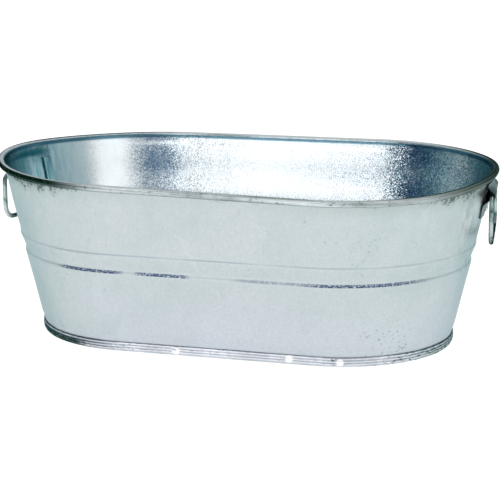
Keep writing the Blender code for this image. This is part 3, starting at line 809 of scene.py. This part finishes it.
def ring_piece(name, outline, materials, node, wobble, caps, fineness=1):
    """Sweep an outline of (radius, z) round the plan."""
    verts, rings = [], []
    for station, shift in ring_stations(fineness):
        ring = []
        for radius, z in outline:
            inwards = min(radius / FOOT_LINE_RADIUS, 1.0)
            x, y, z = plan_point(station, radius, z, shift * inwards)
            dx, dz = wobble(x, y, z)
            angle = station[1]
            ring.append(len(verts))
            verts.append((x + dx * math.cos(angle), y + dx * math.sin(angle), z + dz))
        rings.append(ring)
    faces = rings_to_faces(rings, True, not caps)
    if caps:
        faces.append([ring[0] for ring in rings])
        faces.append([ring[-1] for ring in reversed(rings)])
    mesh_piece(name, verts, faces, [0] * len(faces), materials, "tub", [node])


def rim_wire(mat):
    outline = []
    for k in range(RIM_WIRE_SIDES):
        turn = 2 * math.pi * k / RIM_WIRE_SIDES
        outline.append((ROLL_CENTRE[0] + RIM_WIRE_RADIUS * math.cos(turn),
                        ROLL_CENTRE[1] + RIM_WIRE_RADIUS * math.sin(turn)))
    ring_piece("rim_core_wire", outline, [mat], "rim_wire",
               lambda x, y, z: (0.0, 0.0), False)


def pan_wobble(x, y, z):
    """Uneven solder along the foot ring; none where it stands."""
    if z < STANDING_HEIGHT or math.hypot(max(abs(x) - STRAIGHT, 0.0), y) < PAN_FOOT_RADIUS:
        return 0.0, 0.0
    lump = noise.noise(Vector((x * 60.0, y * 60.0, z * 250.0)))
    edge = noise.noise(Vector((x * 22.0 + 5.0, y * 22.0, 0.0)))
    bead = 0.0
    for spot in SOLDER_BEADS:
        away = (Vector((x, y, z)) - Vector(spot)).length
        bead += BEAD_HEIGHT * math.exp(-(away / BEAD_SPREAD) ** 2)
    return SOLDER_LUMP * lump + bead, CURL_EDGE_WAVE * edge * (z / RIDGES[-1][1])


def bottom_pan(mat):
    inner = PAN_FOOT_RADIUS - PITCH
    outer = PAN_FOOT_RADIUS + PITCH
    foot = SHEET / 2
    path = [(FLOOR_EDGE * share, FLOOR_HEIGHT) for share in (0.05, 0.2, 0.4, 0.6, 0.8, 0.9, 1.0)]
    path += [
        (inner - PAN_BEND, FLOOR_HEIGHT), (inner - PAN_BEND * 0.3, FLOOR_HEIGHT - PAN_BEND * 0.3),
        (inner, FLOOR_HEIGHT - PAN_BEND), (inner, foot + PAN_BEND),
        (inner + FOOT_BEND, foot), (outer - FOOT_BEND, foot), (outer, foot + PAN_BEND),
    ]
    curl = [(foot + PAN_BEND, outer)] + [(z, BASE_RADIUS - SHEET / 2 + out) for out, z in RIDGES]
    low, high = curl[0][0], curl[-1][0]
    heights = [low + (high - low) * i / CURL_ROWS for i in range(1, CURL_ROWS + 1)]
    path += [(hermite(curl, z), z) for z in heights]
    under, over = [], []
    for (r, z), a in zip(path, normal_angles(path)):
        r_step, z_step = SHEET / 2 * math.cos(a), SHEET / 2 * math.sin(a)
        under.append((r + r_step, max(z + z_step, 0.0)))
        over.append((r - r_step, z - z_step))
    ring_piece("foot_pan", under + over[::-1], [mat], "bottom_pan",
               pan_wobble, True, PAN_FINENESS)


# ------------------------------------------------------------------- the handles

def wall_gap_radius(z):
    return taper_radius(z) + SHEET / 2 + EAR_CLEARANCE + EAR_SHEET / 2


def ear_rows(handle):
    height, hinge = handle["height"], handle["hinge_radius"]

    def on_wall(up, extra=0.0):
        return (wall_gap_radius(height + up) - hinge + extra, up, 1.0)

    wrap = BAIL_WIRE_RADIUS + GAP + EAR_SHEET / 2
    rows = [on_wall(EAR_TOP, 2 * GAP), on_wall(FLANGE_FOOT + 0.0015, 2 * GAP),
            on_wall(FLANGE_FOOT, 2 * GAP)]
    for degrees in range(25, -106, -10):
        turn = math.radians(degrees)
        rows.append((wrap * math.cos(turn), wrap * math.sin(turn), 0.0))
    rows += [on_wall(TAB_BEND, GAP), on_wall(TAB_BEND - 0.0015, 0.5 * GAP), on_wall(TAB_TOP),
             on_wall(-0.0190), on_wall(-0.0240), on_wall(-0.0268), on_wall(TAB_FOOT)]
    return rows


def ear(side, handle, materials):
    rows = ear_rows(handle)
    tilts = normal_angles([(n, z) for n, z, follows in rows])
    centre_x, angle = end_station(handle["angle"])

    def trim(i):
        """How much the tab narrows towards its foot, with rounded corners."""
        taper = TAB_CORNER * max(TAB_TOP - rows[i][1], 0.0) / (TAB_TOP - TAB_FOOT)
        return taper + (TAB_ROUND if i == len(rows) - 1 else 0.0)

    def point(i, j, face):
        out, up, follows = rows[i]
        half = face * EAR_SHEET / 2
        out += half * math.cos(tilts[i])
        up += half * math.sin(tilts[i])
        across = (2 * j / EAR_COLUMNS - 1) * (EAR_HALF_WIDTH - trim(i))
        radius = handle["hinge_radius"] + out
        radius -= follows * across * across / (2 * radius)
        x = centre_x + radius * math.cos(angle) - across * math.sin(angle)
        y = radius * math.sin(angle) + across * math.cos(angle)
        return (x, y, handle["height"] + up)

    verts, faces, slots, where = grid_sheet(
        len(rows), EAR_COLUMNS + 1, point, lambda i, j: True,
        lambda i, face: HIDDEN if face > 0 else SHOWN)
    mesh_piece(side + "_strap", verts, faces, slots, materials, "tub", [side + "_ear"],
               sharp=78)


def bail_path():
    """Closed (across, up, heading) centre line of a bail, from the hinge line."""
    half = BAIL_WIDTH / 2
    corners = [
        (half, 0.0, BAIL_TOP_CORNER, 90), (-half, 0.0, BAIL_TOP_CORNER, 180),
        (-half, -BAIL_DROP, BAIL_GRIP_CORNER, 270), (half, -BAIL_DROP, BAIL_GRIP_CORNER, 360),
    ]
    path = []
    for across, up, radius, stop in corners:
        centre_a = across - math.copysign(radius, across)
        centre_u = up - radius if up == 0.0 else up + radius
        for i in range(BAIL_CORNER_STEPS + 1):
            turn = math.radians(stop - 90 + 90 * i / BAIL_CORNER_STEPS)
            path.append((centre_a + radius * math.cos(turn),
                         centre_u + radius * math.sin(turn), turn))
    fine = []
    for i, here in enumerate(path):
        there = path[(i + 1) % len(path)]
        gap = math.hypot(there[0] - here[0], there[1] - here[1])
        steps = max(1, round(gap / BAIL_STEP))
        for k in range(steps):
            share = k / steps
            fine.append((here[0] + (there[0] - here[0]) * share,
                         here[1] + (there[1] - here[1]) * share, here[2]))
    return fine


def bail(side, handle, mat):
    """Closed wire loop; its legs are bent by hand and waver a little."""
    centre_x, angle = end_station(handle["angle"])
    place = Matrix.Translation((centre_x + handle["hinge_radius"] * math.cos(angle),
                                handle["hinge_radius"] * math.sin(angle), handle["height"]))
    place @= Matrix.Rotation(angle, 4, 'Z')
    verts, rings = [], []
    for across, up, turn in bail_path():
        free = min(max(-up / BAIL_WAVER_FROM, 0.0), 1.0)
        waver = free * BAIL_WAVER * noise.noise(Vector((across * 40.0, up * 40.0, handle["angle"])))
        ring = []
        for k in range(BAIL_SIDES):
            a = 2 * math.pi * k / BAIL_SIDES
            reach = BAIL_WIRE_RADIUS * math.cos(a)
            spot = Vector((BAIL_WIRE_RADIUS * math.sin(a) + waver,
                           across + reach * math.cos(turn), up + reach * math.sin(turn)))
            ring.append(len(verts))
            verts.append(tuple(place @ spot))
        rings.append(ring)
    faces = rings_to_faces(rings, True, True)
    mesh_piece(side + "_drop_handle", verts, faces, [0] * len(faces), [mat], side + "_bail",
               [side + "_bail"])


def rivet(side, handle, label, offset, mat):
    """Rivet with a domed head outside and an upset tail inside."""
    head = OUTER_FACE + GAP
    tail = INNER_FACE - 2 * GAP
    profile = [(0.0, head + RIVET_HEAD_HEIGHT)]
    for i in range(1, 9):
        turn = math.radians(90 - 90 * i / 8)
        profile.append((RIVET_HEAD_RADIUS * math.cos(turn),
                        head + RIVET_HEAD_HEIGHT * math.sin(turn)))
    profile += [(RIVET_SHANK, head), (RIVET_SHANK, tail)]
    profile += [(radius, tail - depth) for radius, depth in RIVET_TAIL]
    z = handle["height"] - RIVET_DROP
    centre_x, angle = end_station(handle["angle"] + offset)
    place = Matrix.Translation((centre_x + taper_radius(z) * math.cos(angle),
                                taper_radius(z) * math.sin(angle), z))
    place @= Matrix.Rotation(angle, 4, 'Z') @ Matrix.Rotation(WALL_TILT, 4, 'Y')
    verts, rings = [], []
    for radius, x in profile:
        ring = []
        for k in range(RIVET_SIDES if radius else 1):
            turn = 2 * math.pi * k / RIVET_SIDES
            ring.append(len(verts))
            verts.append(tuple(place @ Vector((x, radius * math.cos(turn),
                                               radius * math.sin(turn)))))
        rings.append(ring)
    faces = []
    for here, there in zip(rings, rings[1:]):
        for k in range(RIVET_SIDES):
            m = (k + 1) % RIVET_SIDES
            corners = [here[k % len(here)], here[m % len(here)],
                       there[m % len(there)], there[k % len(there)]]
            faces.append(list(dict.fromkeys(corners)))
    mesh_piece(f"{side}_round_rivet_{label}", verts, faces, [0] * len(faces), [mat], "tub",
               [f"{side}_rivet_{label}"])


# --------------------------------------------------------------- studio and camera

LIGHT_TINT = (1.0, 0.945, 0.935)
SKY_TINT = (1.0, 0.985, 0.98)
SKY_STRENGTH = 0.87
FLOOR_REACH = 30.0
FLOOR_DROP = 0.0002         # below the tub's foot, so that the two never touch
FLAG_DISTANCE = 2.4
FLAG_STEPS = 24
LIGHT_DISTANCE = 3.0
CAMERA_AZIMUTH = 0.2875     # radians
CAMERA_ELEVATION = 0.2325
CAMERA_ROLL = -0.0042
CAMERA_DISTANCE = 2.6535


def plain_material(name, color, glow, glow_color=(1.0, 1.0, 1.0)):
    mat = bpy.data.materials.new(name)
    mat.use_nodes = True
    shader = mat.node_tree.nodes["Principled BSDF"]
    shader.inputs["Base Color"].default_value = (*color, 1.0)
    shader.inputs["Roughness"].default_value = 0.9
    shader.inputs["Specular IOR Level"].default_value = 0.0
    shader.inputs["Emission Color"].default_value = (*glow_color, 1.0)
    shader.inputs["Emission Strength"].default_value = glow
    return mat


def flag_material(name, glow_color):
    return plain_material(name, (0.0, 0.0, 0.0), 1.0, glow_color)


def from_centre(azimuth, elevation, distance):
    a, e = math.radians(azimuth), math.radians(elevation)
    return Vector((math.sin(a) * math.cos(e), -math.cos(a) * math.cos(e), math.sin(e))) * distance


def curved_card(name, azimuths, heights, distance, mat):
    """Upright curved flag round the tub, seen only in reflections."""
    verts, rings = [], []
    for i in range(FLAG_STEPS + 1):
        azimuth = azimuths[0] + (azimuths[1] - azimuths[0]) * i / FLAG_STEPS
        spot = from_centre(azimuth, 0.0, distance)
        ring = []
        for height in heights:
            ring.append(len(verts))
            verts.append((spot.x, spot.y, height))
        rings.append(ring)
    reflected_card(name, verts, rings_to_faces(rings, False, False), mat)


def reflected_card(name, verts, faces, mat):
    mesh = bpy.data.meshes.new(name)
    mesh.from_pydata(verts, [], faces)
    mesh.materials.append(mat)
    item = bpy.data.objects.new(name, mesh)
    bpy.context.scene.collection.objects.link(item)
    item.visible_camera = False
    item.visible_shadow = False
    item.visible_diffuse = False


def softbox(name, azimuth, elevation, size, power):
    light = bpy.data.lights.new(name, 'AREA')
    light.shape = 'RECTANGLE'
    light.size, light.size_y = size
    light.energy = power
    light.color = LIGHT_TINT
    item = bpy.data.objects.new(name, light)
    item.location = from_centre(azimuth, elevation, LIGHT_DISTANCE)
    item.rotation_mode = 'QUATERNION'
    item.rotation_quaternion = item.location.to_track_quat('Z', 'Y')
    item.visible_camera = False
    bpy.context.scene.collection.objects.link(item)


def studio():
    world = bpy.data.worlds.new("studio_white")
    world.use_nodes = True
    sky = world.node_tree.nodes["Background"]
    sky.inputs["Color"].default_value = (*SKY_TINT, 1.0)
    sky.inputs["Strength"].default_value = SKY_STRENGTH
    bpy.context.scene.world = world
    bpy.context.scene.view_settings.view_transform = 'Standard'

    corners = [(-FLOOR_REACH, -FLOOR_REACH), (FLOOR_REACH, -FLOOR_REACH),
               (FLOOR_REACH, FLOOR_REACH), (-FLOOR_REACH, FLOOR_REACH)]
    mesh = bpy.data.meshes.new("studio_floor")
    mesh.from_pydata([(x, y, -FLOOR_DROP) for x, y in corners], [], [[0, 1, 2, 3]])
    mesh.materials.append(plain_material("floor_white", (0.45, 0.45, 0.45), 0.80))
    floor = bpy.data.objects.new("studio_floor", mesh)
    bpy.context.scene.collection.objects.link(floor)

    navy = flag_material("flag_navy", (0.0, 0.045, 0.110))
    teal = flag_material("flag_teal", (0.008, 0.125, 0.155))
    slate = flag_material("flag_slate", (0.13, 0.24, 0.26))
    grey = flag_material("flag_grey", (0.48, 0.58, 0.60))
    blue = flag_material("flag_blue", (0.0, 0.095, 0.240))
    curved_card("flag_left", (-26.5, -68.0), (0.0, 2.6), FLAG_DISTANCE, navy)
    curved_card("flag_left_side", (-68.0, -91.0), (0.0, 2.6), FLAG_DISTANCE, slate)
    curved_card("flag_right_side", (75.0, 118.0), (0.0, 2.4), FLAG_DISTANCE, grey)
    curved_card("flag_right_back", (118.0, 172.0), (0.0, 1.5), FLAG_DISTANCE, teal)
    curved_card("flag_back", (172.0, 226.0), (0.0, 1.0), FLAG_DISTANCE, teal)
    curved_card("flag_left_back", (226.0, 261.0), (0.0, 1.5), FLAG_DISTANCE, teal)
    curved_card("flag_camera", (-9.0, 27.0), (0.54, 1.16), FLAG_DISTANCE + 0.35, blue)
    softbox("key_light", -16.0, 19.5, (1.9, 2.4), 14.8)
    softbox("side_light", 52.0, 22.0, (1.5, 1.6), 4.6)


def camera():
    """Long lens, a little above the rim, from the right of the front."""
    view = bpy.data.cameras.new("camera")
    view.sensor_width = 36.0
    view.lens = 157.7
    view.shift_x = 0.00854
    view.shift_y = -0.00786
    view.clip_start = 0.1
    view.clip_end = 100.0
    item = bpy.data.objects.new("camera", view)
    bpy.context.scene.collection.objects.link(item)
    back = from_centre(math.degrees(CAMERA_AZIMUTH), math.degrees(CAMERA_ELEVATION), 1.0)
    item.location = Vector((0.0, 0.0, HEIGHT / 2)) + back * CAMERA_DISTANCE
    item.rotation_mode = 'QUATERNION'
    item.rotation_quaternion = (back.to_track_quat('Z', 'Y')
                                @ Matrix.Rotation(CAMERA_ROLL, 3, 'Z').to_quaternion())
    bpy.context.scene.camera = item


def build():
    sheet = [outside_zinc(), inside_zinc(), rim_zinc()]
    wire = wire_zinc()
    straps = [ear_zinc(), hidden_shade_zinc()]
    rivet_mat = rivet_zinc()
    outer, inner = outer_hook(), inner_hook()
    wall("front_wall", -1, outer, mirrored(outer), "front_shell", sheet)
    wall("back_wall", 1, inner, mirrored(inner), "back_shell", sheet)
    rim_wire(wire)
    bottom_pan(pan_zinc())
    for side, handle in HANDLES.items():
        ear(side, handle, straps)
        bail(side, handle, wire)
        for label, offset in (("a", -RIVET_ANGLE), ("b", RIVET_ANGLE)):
            rivet(side, handle, label, offset, rivet_mat)


build()
studio()
camera()
